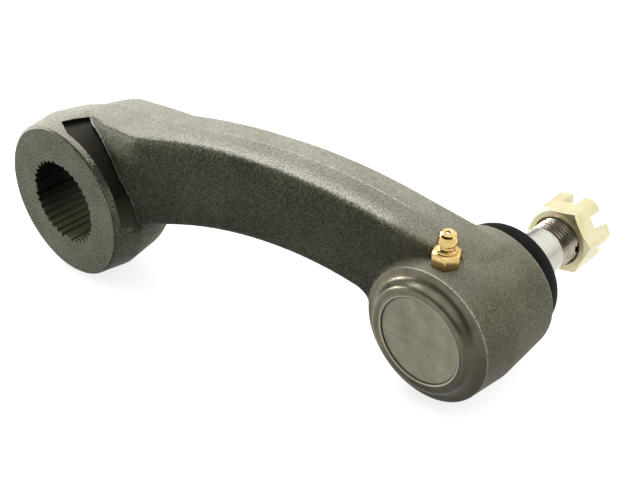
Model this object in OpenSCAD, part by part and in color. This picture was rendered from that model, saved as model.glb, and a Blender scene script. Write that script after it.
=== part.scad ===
// Pitman arm: a forged steering arm with a splined boss at one end and a
// greasable ball joint at the other. Millimetres, +Z up. The origin is the
// centre of the splined bore on the boss's front face. +X runs along the arm
// to the ball joint, and +Y runs along the bore, the way the ball stud points.

/* [Forging] */
// Draft angle of the forged walls, falling away from the parting line
draft = 7; // [3:0.5:9]
// Radius of the forged edges along the arm
edge_r = 3; // [1.5:0.5:5]
// Distance between the bore axis and the ball joint axis along X
reach_x = 146.3; // [138:0.1:156]
// Height of the ball joint axis above the bore axis
reach_z = -5.6; // [-9:0.1:-2]

/* [Splined boss] */
// Diameter of the boss at its front face
boss_d = 60; // [57:0.5:63]
// Length of the boss along the bore
boss_len = 34.5; // [32:0.5:36]
// Distance from the front face to the boss's parting line
boss_part = 12; // [10:0.5:15]
// Draft angle of the boss behind its parting line
boss_back_draft = 9; // [7:0.5:11]
// Radius of the boss's rounded back edge
boss_edge_r = 12; // [9:0.5:13]
// Bevel around the front face
boss_bevel = 0.5; // [0.2:0.1:1]
// Diameter of the bore across the lands between the spline grooves
bore_d = 31.8; // [28:0.1:34]
// Number of spline pitches around the bore
spline_pitches = 36; // [24:12:48]
// Number of blank splines that key the arm to the shaft
spline_blanks = 4; // [1:1:4]
// Width of a spline groove at the land
spline_w = 0.7; // [0.4:0.05:0.75]
// Depth of a spline groove
spline_depth = 1.1; // [0.6:0.1:1.6]
// Diameter of the machined nut seat on the back face
seat_d = 46; // [42:0.5:48]
// Depth of the nut seat below the boss's back face
seat_depth = 1.5; // [1.2:0.1:2.5]

/* [Relief groove beside the boss] */
// Width of the rim left between the front face and the groove
relief_rim = 2.4; // [1.5:0.1:4]
// Depth that the groove is turned into the boss's side at its upper end
relief_depth = 1.5; // [0.6:0.1:2]
// Distance from the boss's parting line to the groove's outer edge on the root, square to the bore
relief_gap = 0.2; // [0.1:0.1:0.8]
// Distance from the front face to the bottom of the groove
relief_end = 14.4; // [13:0.2:15.4]
// Angle at which the groove starts, below the arm, where it runs out
relief_from = -8; // [-20:1:0]
// Distance along X, from the bore axis, of the groove's upper end at the front face
relief_end_x = -7.6; // [-9:0.1:-6]
// Angle of the groove's upper end to the bore, seen from above
relief_skew = 34.5; // [32:0.5:37]
// Distance along X of the corner where the groove's upper end meets the root's front edge
relief_corner_x = 6; // [5:0.5:8]

/* [Arm] */
// Thickness of the arm along the bore direction
arm_t = 23.3; // [21.5:0.1:26]
// Angle by which the arm leans back from the boss to the ball joint
arm_lean = 16.8; // [15:0.1:18]
// Radius of the bow's upper edges
top_r = 170; // [150:1:200]
// Distance along X of the highest point of the upper edges from midway between the two axes
top_off = -7.6; // [-11:0.1:0]
// Height of the upper edges above the bore axis at their highest point
top_rise = 39.2; // [37:0.1:41]
// Radius of the bow's lower edges
low_r = 108; // [100:1:125]
// Distance along X of the highest point of the lower edges from midway between the two axes
low_off = 1.4; // [-3:0.1:5]
// Height of the lower edges above the bore axis at their highest point
low_rise = 7.2; // [5:0.1:9]
// Distance along X of the crease where the flat front side starts
crease_x = 34; // [33:0.5:38]
// Distance of the front side from the boss's front face at the crease
crease_y = 9.5; // [9:0.1:11]
// Radius of the root's front edge, seen from above
root_round = 125; // [100:5:160]
// Distance along X at which the root's bulge is full
root_x = 27; // [24:0.5:29]
// Height of the bulge on the root's front
root_bulge = 2.4; // [0.5:0.1:3]
// Radius of the fillet under the arm at the boss
root_fillet_r = 2.5; // [2:0.5:8]
// Radius of the fillet under the arm at the ball housing
end_fillet_r = 10; // [6:0.5:12]

/* [Ball housing] */
// Distance from the boss's front face to the housing's front edge
housing_front = 34.7; // [33.5:0.1:36]
// Length of the housing behind its front edge
housing_len = 39; // [37:0.5:42]
// Thickness of the housing's wall round the bearings, at its front edge
housing_wall = 7.7; // [6.8:0.05:8.5]
// Draft angle of the housing's front half
housing_draft = 4.5; // [3.5:0.5:7]
// Distance from the front edge to the housing's parting line
housing_part = 15.3; // [12:0.1:18]
// Thickness of the housing's wall at its back edge, measured from the bearing bore
housing_back_wall = 7.2; // [6.5:0.1:8.5]
// Bevel around the housing's back edge
housing_bevel = 0.8; // [0.3:0.1:1.5]
// Height of the rolled lip in front of the housing's front edge
lip_h = 4.2; // [3:0.1:4.6]
// Thickness of the rolled lip at its crest, round the cover plate
lip_wall = 1; // [0.8:0.1:1.8]
// Width of the lip's sloping outside
lip_slope = 1.3; // [0.8:0.1:1.6]
// Width of the cove between the lip's foot and the cove's bottom
cove_w = 1.2; // [0.6:0.1:1.6]
// Depth of the cove behind the housing's front edge
cove_depth = 0.8; // [0.3:0.1:1.5]
// Width over which the lip's inner edge holds the cover plate
lip_hold = 2.2; // [1.4:0.1:3]

/* [Ball joint] */
// Distance from the housing's front edge to the ball's centre
ball_back = 20.3; // [19:0.1:21.5]
// Diameter of the ball
ball_d = 27; // [25:0.2:28]
// Gap between the ball and its bearings
ball_gap = 0.06; // [0.02:0.01:0.1]
// Largest swing of the stud to either side
swing = 20; // [10:1:22]
// Diameter of the bearing bore in the housing
cavity_d = 34.4; // [33:0.2:36]
// Gap between the parts that sit in the housing and its walls
seat_gap = 0.05; // [0.02:0.01:0.1]
// Thickness of the cover plate
plate_t = 2.5; // [2:0.1:3]
// Width of the ledge that the cover plate rests on
plate_ledge = 1; // [0.6:0.1:1.4]
// Depth of the cover plate behind the crest of the lip
plate_sunk = 0.7; // [0.5:0.1:1.2]
// Thickness of the lower bearing under the ball
bearing_floor = 2; // [1.5:0.1:2.5]
// Length of the upper bearing
bearing_len = 6.7; // [5.5:0.1:7]
// Wire diameter of the preload spring
spring_wire = 1.8; // [1.2:0.1:2]
// Mean diameter of the preload spring
spring_d = 18; // [14:0.5:22]

/* [Ball stud] */
// Diameter of the neck behind the ball
neck_d = 15.6; // [13:0.2:16]
// Diameter of the taper at its large end
taper_d = 19.2; // [18.6:0.1:20.5]
// Distance from the ball's centre to the large end of the taper
taper_from = 31; // [29:0.5:34]
// Distance from the ball's centre to the start of the thread
thread_from = 47.6; // [45:0.1:50]
// Diameter over the thread
thread_d = 17.5; // [16.5:0.1:18]
// Distance from the ball's centre to the stud's end
stud_end = 63.5; // [60:0.5:66]
// Diameter of the cotter pin hole
cotter_d = 4; // [3:0.1:5]
// Distance of the cotter pin hole from the stud's end
cotter_back = 5.5; // [4.5:0.1:7]

/* [Dust boot] */
// Diameter of the boot's base
boot_d = 45; // [41:0.5:46]
// Diameter of the boot's rounded shoulder
boot_shoulder_d = 36.5; // [31:0.5:38]
// Distance from the boot's base to its shoulder
boot_shoulder = 10; // [8:0.5:11]
// Length of the boot
boot_len = 15.6; // [14:0.2:17]
// Wall thickness of the boot
boot_wall = 1.8; // [1.2:0.1:2.2]
// Gap between the boot and what it sits against
boot_gap = 0.15; // [0.05:0.01:0.3]

/* [Slotted nut] */
// Width of the nut across its flats
nut_af = 24; // [22.5:0.1:27]
// Height of the nut
nut_h = 15.6; // [14:0.1:18]
// Distance from the ball's centre to the nut's inner face
nut_from = 56.4; // [54:0.1:57.5]
// Turn of the nut about the stud
nut_turn = 8; // [0:1:59]
// Width of the nut's slots
slot_w = 5.4; // [4.2:0.1:6]
// Depth of the nut's slots
slot_depth = 7.2; // [5:0.1:8]
// Radial gap between the nut and the stud's thread
thread_gap = 0.05; // [0.02:0.01:0.1]

/* [Grease fitting] */
// Distance of the fitting behind the housing's front edge
fitting_back = 8.6; // [7.5:0.1:10]
// Width of the fitting's hexagon across its flats
fitting_af = 9; // [8:0.1:9.5]
// Height of the fitting's hexagon
fitting_hex_h = 5.2; // [4.6:0.1:5.6]
// Diameter of the collar on the hexagon
fitting_collar_d = 7.2; // [6.6:0.1:7.6]
// Height of the collar on the hexagon
fitting_collar_h = 1.1; // [0.6:0.1:1.4]
// Diameter of the fitting's head at its rim
fitting_head_d = 6.8; // [6.2:0.1:7]
// Diameter of the fitting's head at its tip
fitting_tip_d = 5.7; // [5:0.1:6]
// Diameter of the waist under the head
fitting_waist_d = 5.2; // [4.8:0.1:5.6]
// Height of the fitting above its seat
fitting_h = 12.2; // [11.5:0.1:13.5]
// Diameter of the fitting's threaded shank
fitting_thread_d = 6.3; // [5.8:0.1:6.6]
// Length of the fitting's threaded shank
fitting_thread_len = 6; // [4:0.1:6.5]
// Diameter of the flat seat cut into the housing
fitting_seat_d = 11.4; // [11.2:0.1:12.4]
// Diameter of the check ball
check_d = 2.2; // [1.8:0.1:2.4]
// Diameter of the bore that the check ball moves in
check_bore_d = 2.8; // [2.6:0.1:3]
// Diameter of the hole at the tip
check_mouth_d = 1.7; // [1.2:0.1:1.7]
// Travel of the check ball
check_travel = 0.8; // [0.4:0.1:1.2]
// Wire diameter of the check spring
check_wire = 0.3; // [0.2:0.05:0.35]

/* [Hidden] */
$fn = 72;
over = 1;
rise = tan(draft);
lean = tan(arm_lean);
hex_round = cos(30);

// Boss
boss_r = boss_d / 2;
bore_r = bore_d / 2;
boss_mid_r = boss_r + boss_part * rise;
boss_fall = tan(boss_back_draft);
// Centre of the rounded back edge, which meets the drafted side without a step
edge_y = boss_len - boss_edge_r;
edge_x = boss_mid_r - (edge_y - boss_part) * boss_fall - boss_edge_r / cos(boss_back_draft);
seat_y = boss_len - seat_depth;
spline_angle = 360 / spline_pitches;
blank_every = spline_pitches / spline_blanks;
groove_root_w = spline_w * 0.4;

// Arm outline in the XZ plane: two bows and a line that touches the boss, with fillets below
top_c = [reach_x / 2 + top_off, top_rise - top_r];
low_c = [reach_x / 2 + low_off, low_rise - low_r];
ball_c = [reach_x, reach_z];
cavity_r = cavity_d / 2;
housing_r = cavity_r + housing_wall;
housing_mid_r = housing_r + housing_part * tan(housing_draft);
housing_back_r = cavity_r + housing_back_wall;
arm_end_r = housing_r + edge_r / 6;

function polar(c, r, a) = [c[0] + r * cos(a), c[1] + r * sin(a)];
function heading(v) = atan2(v[1], v[0]);
// Angle of the common normal of two circles, for a line that touches both
function tangent_a(c1, r1, c2, r2, side) =
    heading(c2 - c1) + side * acos((r1 - r2) / norm(c2 - c1));
// Centre of a circle at distance r1 from c1 and r2 from c2
function meet(c1, r1, c2, r2, side) =
    let (d = norm(c2 - c1),
         u = (c2 - c1) / d,
         a = (r1 * r1 - r2 * r2 + d * d) / (2 * d),
         h = sqrt(r1 * r1 - a * a))
    c1 + a * u + side * h * [-u[1], u[0]];
function on_circle(c, r, x) = c[1] + sqrt(max(0, r * r - (x - c[0]) * (x - c[0])));
function on_line(p, a, x) = p[1] - (x - p[0]) * cos(a) / sin(a);
function steps(a, b, n) = [for (i = [0 : n - 1]) a + (b - a) * i / n];

boss_touch_a = tangent_a([0, 0], boss_mid_r, top_c, top_r, 1);
end_touch_a = tangent_a(ball_c, arm_end_r, top_c, top_r, -1);
boss_touch = polar([0, 0], boss_mid_r, boss_touch_a);
bow_touch_1 = polar(top_c, top_r, boss_touch_a);
bow_touch_2 = polar(top_c, top_r, end_touch_a);
end_touch = polar(ball_c, arm_end_r, end_touch_a);

fillet_1 = meet([0, 0], boss_r + root_fillet_r, low_c, low_r - root_fillet_r, 1);
fillet_2 = meet(ball_c, arm_end_r + end_fillet_r, low_c, low_r - end_fillet_r, -1);
low_1 = polar([0, 0], boss_r, heading(fillet_1));
low_2 = polar(low_c, low_r, heading(fillet_1 - low_c));
low_3 = polar(low_c, low_r, heading(fillet_2 - low_c));
low_4 = polar(ball_c, arm_end_r, heading(fillet_2 - ball_c));

function top_z(x) =
    x < bow_touch_1[0] ? on_line(boss_touch, boss_touch_a, x)
    : x < bow_touch_2[0] ? on_circle(top_c, top_r, x)
    : on_line(end_touch, end_touch_a, x);
function low_z(x) =
    x < low_1[0] ? low_1[1]
    : x < low_2[0] ? on_circle(fillet_1, root_fillet_r, x)
    : x < low_3[0] ? on_circle(low_c, low_r, x)
    : x < low_4[0] ? on_circle(fillet_2, end_fillet_r, x)
    : low_4[1];

// Arm outline in the XY plane: a rounded root, a crease and a leaning bar
ramp_y = 20;
ramp_slope = 1.1;
relief_set = 0.3;
relief_far = [relief_end_x + relief_end * tan(relief_skew), relief_end + relief_set];
function root_y(x) = crease_y + pow(crease_x - x, 2) / (2 * root_round);
root_corner = [relief_corner_x, root_y(relief_corner_x)];
// The arm's start on the boss stands just behind the groove's oblique upper end
function front_y(x) =
    x < relief_far[0] ? max(relief_rim, relief_far[1] - (relief_far[0] - x) / tan(relief_skew))
    : x < root_corner[0] ? relief_far[1]
        + (root_corner[1] - relief_far[1]) * (x - relief_far[0]) / (root_corner[0] - relief_far[0])
    : x < crease_x ? root_y(x)
    : crease_y + (x - crease_x) * lean;
function back_y(x) =
    min(ramp_y + ramp_slope * (x - boss_touch[0]),
        max(boss_len, crease_y + arm_t + (x - crease_x) * lean));
// The arm starts level with the boss's own parting line
function root_drop(x) =
    rise * (ramp_y - relief_rim) / 2
    * max(0, (relief_corner_x - x) / (relief_corner_x - boss_touch[0]));
function bulge(x) = root_bulge * max(0, min(1, (crease_x - x) / (crease_x - root_x)));

// Arm stations and rounded, drafted sections
flare_end = crease_x + 6;
arm_xs = concat(
    steps(boss_touch[0], relief_far[0], 3), steps(relief_far[0], root_corner[0], 2),
    steps(root_corner[0], root_x, 6), steps(root_x, flare_end, 12),
    steps(flare_end, low_3[0], 16), steps(low_3[0], low_4[0], 6),
    steps(low_4[0], end_touch[0], 6), [end_touch[0]]);
edge_steps = 5;
side_steps = 5;
function edge_arc(x, y, z, r, a0, a1) =
    [for (i = [0 : edge_steps])
        let (a = a0 + (a1 - a0) * i / edge_steps) [x, y + r * cos(a), z + r * sin(a)]];
function edge_set(r, a) = r * (1 - sin(a)) / cos(a);
// Points down the front side between its two rounded edges, bowed out by b
function front_side(x, y, z1, z2, b) =
    [for (i = [1 : side_steps])
        let (k = i / (side_steps + 1))
        [x, y - 4 * b * k * (1 - k), z1 + (z2 - z1) * k]];
function arm_section(x) =
    let (yf = front_y(x),
         yb = back_y(x),
         zt = top_z(x) - root_drop(x),
         zb = low_z(x),
         half = (yb - yf) / 2,
         ym = yf + half,
         ridge = rise * half,
         r = min(edge_r, 0.3 * half),
         in_z = edge_set(r, draft))
    concat(
        edge_arc(x, yb - r, zt - in_z, r, 0, 90 - draft), [[x, ym, zt + ridge]],
        edge_arc(x, yf + r, zt - in_z, r, 90 + draft, 180),
        front_side(x, yf, zt - in_z, zb + in_z, bulge(x)),
        edge_arc(x, yf + r, zb + in_z, r, 180, 270 - draft), [[x, ym, zb - ridge]],
        edge_arc(x, yb - r, zb + in_z, r, 270 + draft, 360));
arm_n = 4 * (edge_steps + 1) + 2 + side_steps;

// Housing and ball joint, as distances along the bore
ball_y = housing_front + ball_back;
housing_back = housing_front + housing_len;
lip_y = housing_front - lip_h;
lip_bevel = 0.4;
edge_bevel = 0.4;
plate_y = lip_y + plate_sunk;
plate_back = plate_y + plate_t;
ball_r = ball_d / 2;
cup_r = ball_r + ball_gap;
bearing_r = cavity_r - seat_gap;
plate_r = cavity_r + plate_ledge;
lip_crest_r = plate_r + lip_wall;
lip_foot_r = lip_crest_r + lip_slope;
cove_r = lip_foot_r + cove_w;
lip_hold_r = plate_r - lip_hold;
bearing_back = ball_y + bearing_len;
bearing_front = ball_y - ball_r - bearing_floor;
neck_r = neck_d / 2;
swing_room = 0.5;
// Radius that the swung neck needs at distance d behind the ball's centre
function swing_r(d) = d * tan(swing) + neck_r / cos(swing) + swing_room;
throat_in_r = max(swing_r(bearing_len),
    sqrt(pow(ball_r + swing_room, 2) - pow(bearing_len, 2)));
throat_out_r = swing_r(housing_back - ball_y);
grease_groove = 1.2;
grease_hole_d = 3;

// Stud, boot and nut
taper_r = taper_d / 2;
thread_r = thread_d / 2;
thread_bevel = 1.2;
neck_from = sqrt(ball_r * ball_r - neck_r * neck_r) - 0.3;
boot_y = housing_back + boot_gap;
boot_r = boot_d / 2;
shoulder_r = boot_shoulder_d / 2;
nut_y = ball_y + nut_from;
nut_bore_r = thread_r + thread_gap;
nut_corner_r = nut_af / 2 / hex_round;
nut_bevel = tan(30);
countersink = 1;
// Radius of the stud's taper at a place along the bore
function taper_at(y) =
    taper_r + (thread_r - taper_r) * (y - ball_y - taper_from) / (thread_from - taper_from);

// Grease fitting
fitting_y = housing_front + fitting_back;
fitting_sunk = 0.7;
fitting_z = reach_z + housing_r + fitting_back * tan(housing_draft) - fitting_sunk;
fitting_thread_r = fitting_thread_d / 2;
fitting_rim_h = 1.2;
fitting_waist_h = 1.6;
check_r = check_d / 2;
check_bore_r = check_bore_d / 2;
check_mouth_r = check_mouth_d / 2;
check_lip = 0.5;
check_gap = 0.05;
// The ball rests just under the edge of the tip's hole
check_z = fitting_z + fitting_h - check_lip - check_gap
    - sqrt(check_r * check_r - check_mouth_r * check_mouth_r);
check_spring_h = 4;

module along_y() {
    rotate([-90, 0, 0]) children();
}

module at_ball_axis() {
    translate([reach_x, 0, reach_z]) along_y() children();
}

module ring(points) {
    rotate_extrude() polygon(points);
}

// Closed round-wire coil standing on z = 0, turning about Z
module coil(mean_r, wire, height, turns) {
    sides = 8;
    per_turn = 20;
    rings = round(turns * per_turn);
    wire_r = wire / 2;
    points = [for (i = [0 : rings], j = [0 : sides - 1])
        let (t = 360 * turns * i / rings,
             a = 360 * j / sides,
             r = mean_r + wire_r * cos(a))
        [r * cos(t), r * sin(t), wire_r + (height - wire) * i / rings + wire_r * sin(a)]];
    skin = [for (i = [0 : rings - 1], j = [0 : sides - 1])
        let (k = (j + 1) % sides)
        [i * sides + j, i * sides + k, (i + 1) * sides + k, (i + 1) * sides + j]];
    cap_a = [[for (j = [0 : sides - 1]) sides - 1 - j]];
    cap_b = [[for (j = [0 : sides - 1]) rings * sides + j]];
    polyhedron(points, concat(skin, cap_a, cap_b), convexity = 10);
}

// Forged bar that bows from the boss to the ball housing
module arm_bar() {
    count = len(arm_xs);
    points = [for (x = arm_xs) each arm_section(x)];
    skin = [for (i = [0 : count - 2], j = [0 : arm_n - 1])
        let (k = (j + 1) % arm_n,
             a = i * arm_n + j,
             b = (i + 1) * arm_n + j,
             c = (i + 1) * arm_n + k,
             d = i * arm_n + k)
        each [[a, b, c], [a, c, d]]];
    cap_a = [[for (j = [0 : arm_n - 1]) j]];
    cap_b = [[for (j = [0 : arm_n - 1]) count * arm_n - 1 - j]];
    polyhedron(points, concat(skin, cap_a, cap_b), convexity = 6);
}

// Boss as forged: drafted both ways from its parting line, with a rounded back
module boss_blank() {
    edge = [for (i = [0 : 8])
        let (a = boss_back_draft + (90 - boss_back_draft) * i / 8)
        [edge_x + boss_edge_r * cos(a), edge_y + boss_edge_r * sin(a)]];
    along_y() ring(concat(
        [[0, 0], [boss_r - boss_bevel, 0], [boss_r, boss_bevel], [boss_mid_r, boss_part]],
        edge, [[0, boss_len]]));
}

// Turned gap between the boss's side and the arm's root. Its wall is set off, so that it runs
// out below, and its upper end is oblique
module relief_groove() {
    spare = 0.1;
    shift = (relief_depth + spare) / (1 + sin(relief_from));
    wall = boss_r + spare - shift;
    outer = boss_mid_r + relief_gap;
    skew = tan(relief_skew);
    difference() {
        along_y() rotate([0, 0, -110]) rotate_extrude(angle = 110 - relief_from)
            translate([boss_r / 2, relief_rim]) square([outer - boss_r / 2, relief_end - relief_rim]);
        translate(shift * [cos(relief_from), 0, sin(relief_from)])
            along_y() cylinder(r1 = wall, r2 = wall + boss_len * rise, h = boss_len);
        linear_extrude(2 * boss_d)
            polygon([[relief_end_x - boss_d, 0], [relief_end_x, 0],
                [relief_end_x + (relief_end + over) * skew, relief_end + over],
                [relief_end_x - boss_d, relief_end + over]]);
    }
}

// Bore with its spline grooves and blank splines
module spline_bore() {
    along_y() translate([0, 0, -over]) linear_extrude(boss_len + 2 * over) {
        circle(bore_r);
        for (k = [0 : spline_pitches - 1])
            if (k % blank_every != 0)
                rotate(180 + k * spline_angle)
                    polygon([
                        [bore_r - over, -spline_w / 2], [bore_r, -spline_w / 2],
                        [bore_r + spline_depth, -groove_root_w / 2],
                        [bore_r + spline_depth, groove_root_w / 2],
                        [bore_r, spline_w / 2], [bore_r - over, spline_w / 2]]);
    }
}

// Housing as forged and turned: drafted wall, cove and lip
module housing_blank() {
    at_ball_axis() ring([
        [0, lip_y], [lip_crest_r - lip_bevel, lip_y], [lip_crest_r, lip_y + lip_bevel],
        [lip_foot_r, housing_front - lip_bevel], [cove_r, housing_front + cove_depth],
        [housing_r - edge_bevel, housing_front], [housing_r, housing_front + edge_bevel],
        [housing_mid_r, housing_front + housing_part],
        [housing_back_r, housing_back - housing_bevel], [housing_back_r - housing_bevel, housing_back],
        [0, housing_back]]);
}

// Room inside the housing, from the lip to the flared throat
module housing_room() {
    at_ball_axis() ring([
        [0, lip_y - over], [lip_hold_r + plate_sunk + over, lip_y - over], [lip_hold_r, plate_y],
        [plate_r, plate_y], [plate_r, plate_back + seat_gap], [cavity_r, plate_back + seat_gap],
        [cavity_r, bearing_back + seat_gap], [throat_in_r, bearing_back + seat_gap],
        [throat_out_r, housing_back], [throat_out_r, housing_back + over], [0, housing_back + over]]);
}

module arm_forging() {
    color("#6f6e63") difference() {
        union() {
            boss_blank();
            arm_bar();
            housing_blank();
        }
        spline_bore();
        along_y() translate([0, 0, seat_y]) cylinder(d = seat_d, h = boss_len);
        relief_groove();
        housing_room();
        translate([reach_x, fitting_y, fitting_z]) {
            cylinder(d = fitting_seat_d, h = fitting_h);
            translate([0, 0, reach_z - fitting_z])
                cylinder(r = fitting_thread_r + seat_gap, h = fitting_z - reach_z);
        }
    }
}

// Turned disc under the rolled lip
module cover_plate() {
    color("#7d7b6e") at_ball_axis() translate([0, 0, plate_y + seat_gap])
        cylinder(r = plate_r - seat_gap, h = plate_t - seat_gap);
}

// Coil between the cover plate and the lower bearing
module preload_spring() {
    color("#9a9a98") at_ball_axis() translate([0, 0, plate_back + seat_gap])
        coil(spring_d / 2, spring_wire, bearing_front - plate_back - 2 * seat_gap, 2.25);
}

// Cup under the ball, with a grease hole and a groove round its outside
module lower_bearing() {
    half_split = 0.3;
    groove_half = grease_groove + fitting_thread_r / 2;
    color("#b9b3a0") difference() {
        at_ball_axis() ring([
            [grease_hole_d / 2, bearing_front], [bearing_r, bearing_front],
            [bearing_r, fitting_y - groove_half],
            [bearing_r - grease_groove, fitting_y - groove_half + grease_groove],
            [bearing_r - grease_groove, fitting_y + groove_half - grease_groove],
            [bearing_r, fitting_y + groove_half],
            [bearing_r, ball_y - half_split], [grease_hole_d / 2, ball_y - half_split]]);
        translate([reach_x, ball_y, reach_z]) sphere(cup_r);
    }
}

// Ring behind the ball that stops it leaving the housing
module upper_bearing() {
    half_split = 0.3;
    color("#b9b3a0") difference() {
        at_ball_axis() ring([
            [swing_r(half_split), ball_y + half_split], [bearing_r, ball_y + half_split],
            [bearing_r, bearing_back], [throat_in_r, bearing_back]]);
        translate([reach_x, ball_y, reach_z]) sphere(cup_r);
    }
}

// Ball, neck, taper and threaded end in one piece
module ball_stud() {
    color("#d8d8d6") difference() {
        union() {
            translate([reach_x, ball_y, reach_z]) sphere(ball_r);
            at_ball_axis() translate([0, 0, ball_y]) ring([
                [0, neck_from], [neck_r, neck_from], [neck_r, taper_from - 6], [taper_r, taper_from],
                [thread_r, thread_from], [thread_r, stud_end - thread_bevel],
                [thread_r - thread_bevel, stud_end], [0, stud_end]]);
        }
        translate([reach_x - taper_d, ball_y + stud_end - cotter_back, reach_z])
            rotate([0, 90, 0]) cylinder(d = cotter_d, h = 2 * taper_d);
    }
}

// Low rubber cone from the housing's back face to the stud's taper
module dust_boot() {
    grip_y = boot_y + boot_len;
    grip_in = taper_at(grip_y - 4) + boot_gap;
    color("#1d1d1d") at_ball_axis() ring([
        [throat_out_r + 0.4, boot_y], [boot_r, boot_y], [boot_r, boot_y + 1.6],
        [boot_r - 1.2, boot_y + 3.4], [shoulder_r + 0.6, boot_y + boot_shoulder - 1.4],
        [shoulder_r - 1, boot_y + boot_shoulder + 0.6], [grip_in + boot_wall + 1, grip_y - 2.2],
        [grip_in + boot_wall, grip_y], [grip_in, grip_y], [grip_in, grip_y - 4],
        [shoulder_r - boot_wall - 1, boot_y + boot_shoulder - boot_wall],
        [boot_r - boot_wall - 1.6, boot_y + 2.6], [throat_out_r + 0.4, boot_y + 1.6]]);
}

// Hexagon nut with six slots for a cotter pin at its outer end
module slotted_nut() {
    far = nut_y + nut_h;
    face_r = nut_af / 2 - 0.4;
    corner_drop = (nut_corner_r + over - face_r) * nut_bevel;
    color("#cbb878") difference() {
        intersection() {
            at_ball_axis() rotate(-nut_turn) translate([0, 0, nut_y])
                cylinder(r = nut_corner_r, h = nut_h, $fn = 6);
            at_ball_axis() ring([
                [0, nut_y], [face_r, nut_y], [nut_corner_r + over, nut_y + corner_drop],
                [nut_corner_r + over, far - corner_drop], [face_r, far], [0, far]]);
        }
        at_ball_axis() ring([
            [0, nut_y - over], [nut_bore_r + countersink + over, nut_y - over],
            [nut_bore_r, nut_y + countersink], [nut_bore_r, far + over], [0, far + over]]);
        for (k = [0 : 2])
            at_ball_axis() rotate(-nut_turn - 30 - 60 * k)
                translate([-nut_af, -slot_w / 2, far - slot_depth])
                    cube([2 * nut_af, slot_w, slot_depth + over]);
    }
}

// Turned fitting with a hexagon, a collar, a waist and a coned head
module grease_fitting() {
    head_r = fitting_head_d / 2;
    waist_r = fitting_waist_d / 2;
    collar_r = fitting_collar_d / 2;
    tip_r = fitting_tip_d / 2;
    waist_z = fitting_hex_h + fitting_collar_h;
    rim_z = waist_z + fitting_waist_h;
    hex_bevel = 0.5;
    hex_r = fitting_af / 2 / hex_round;
    bore_from = check_z - fitting_z - check_r - check_spring_h - 2 * check_gap;
    color("#d9b45a") translate([reach_x, fitting_y, fitting_z]) difference() {
        union() {
            intersection() {
                cylinder(r = hex_r, h = fitting_hex_h, $fn = 6);
                ring([
                    [0, 0], [hex_r - hex_bevel, 0], [hex_r, hex_bevel],
                    [hex_r, fitting_hex_h - hex_bevel], [hex_r - 2 * hex_bevel, fitting_hex_h],
                    [0, fitting_hex_h]]);
            }
            translate([0, 0, -fitting_thread_len])
                cylinder(r = fitting_thread_r, h = fitting_thread_len + hex_bevel);
            ring([
                [0, fitting_hex_h - hex_bevel], [collar_r, fitting_hex_h - hex_bevel],
                [collar_r, waist_z - 0.3], [collar_r - 0.3, waist_z], [waist_r, waist_z], [waist_r, rim_z],
                [head_r - 0.3, rim_z], [head_r, rim_z + 0.3], [head_r, rim_z + fitting_rim_h],
                [tip_r, fitting_h - 0.7], [tip_r - 0.3, fitting_h - 0.25], [tip_r - 0.9, fitting_h],
                [0, fitting_h]]);
        }
        translate([0, 0, -fitting_thread_len - over])
            cylinder(r = check_mouth_r, h = fitting_h + fitting_thread_len + 2 * over);
        translate([0, 0, bore_from]) cylinder(r = check_bore_r, h = fitting_h - check_lip - bore_from);
    }
}

// Steel ball that closes the fitting's tip
module check_ball() {
    color("#c9c9c9") translate([reach_x, fitting_y, check_z]) sphere(check_r);
}

// Coil that holds the check ball up
module check_spring() {
    bottom_z = check_z - check_r - check_spring_h - check_gap;
    color("#b0b0ae") translate([reach_x, fitting_y, bottom_z])
        coil(check_bore_r - check_wire / 2 - 2 * check_gap, check_wire, check_spring_h, 4);
}

arm_forging();
cover_plate();
preload_spring();
lower_bearing();
upper_bearing();
ball_stud();
dust_boot();
slotted_nut();
grease_fitting();
check_ball();
check_spring();
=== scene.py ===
# Pitman arm: a forged steering arm with a splined boss and a greasable ball joint.
# Metres, in the part's frame: the bore's centre on the boss's front face is the origin,
# +X runs along the arm, +Y along the bore towards the nut, and +Z is up.
import math

import bmesh
import bpy
from mathutils import Matrix, Vector


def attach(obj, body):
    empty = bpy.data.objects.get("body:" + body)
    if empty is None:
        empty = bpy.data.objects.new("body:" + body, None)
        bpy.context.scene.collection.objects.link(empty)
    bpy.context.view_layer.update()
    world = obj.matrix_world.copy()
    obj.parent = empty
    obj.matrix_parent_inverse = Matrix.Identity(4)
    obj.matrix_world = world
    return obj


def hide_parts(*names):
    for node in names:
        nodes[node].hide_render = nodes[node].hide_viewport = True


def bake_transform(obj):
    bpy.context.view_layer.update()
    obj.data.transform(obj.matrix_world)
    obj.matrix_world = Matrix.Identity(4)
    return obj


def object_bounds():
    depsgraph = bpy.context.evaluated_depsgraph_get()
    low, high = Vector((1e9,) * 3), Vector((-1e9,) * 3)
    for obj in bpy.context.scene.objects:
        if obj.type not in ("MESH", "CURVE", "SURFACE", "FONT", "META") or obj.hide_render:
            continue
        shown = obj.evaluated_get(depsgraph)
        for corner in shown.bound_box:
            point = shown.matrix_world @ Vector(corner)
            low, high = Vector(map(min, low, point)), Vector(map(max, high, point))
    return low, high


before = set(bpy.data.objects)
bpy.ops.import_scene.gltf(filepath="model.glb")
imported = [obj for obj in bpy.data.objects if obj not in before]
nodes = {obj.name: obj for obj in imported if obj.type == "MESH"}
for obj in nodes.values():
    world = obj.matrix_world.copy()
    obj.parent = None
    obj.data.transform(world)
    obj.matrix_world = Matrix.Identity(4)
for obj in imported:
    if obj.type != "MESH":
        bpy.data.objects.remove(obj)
cad_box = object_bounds()

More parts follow.
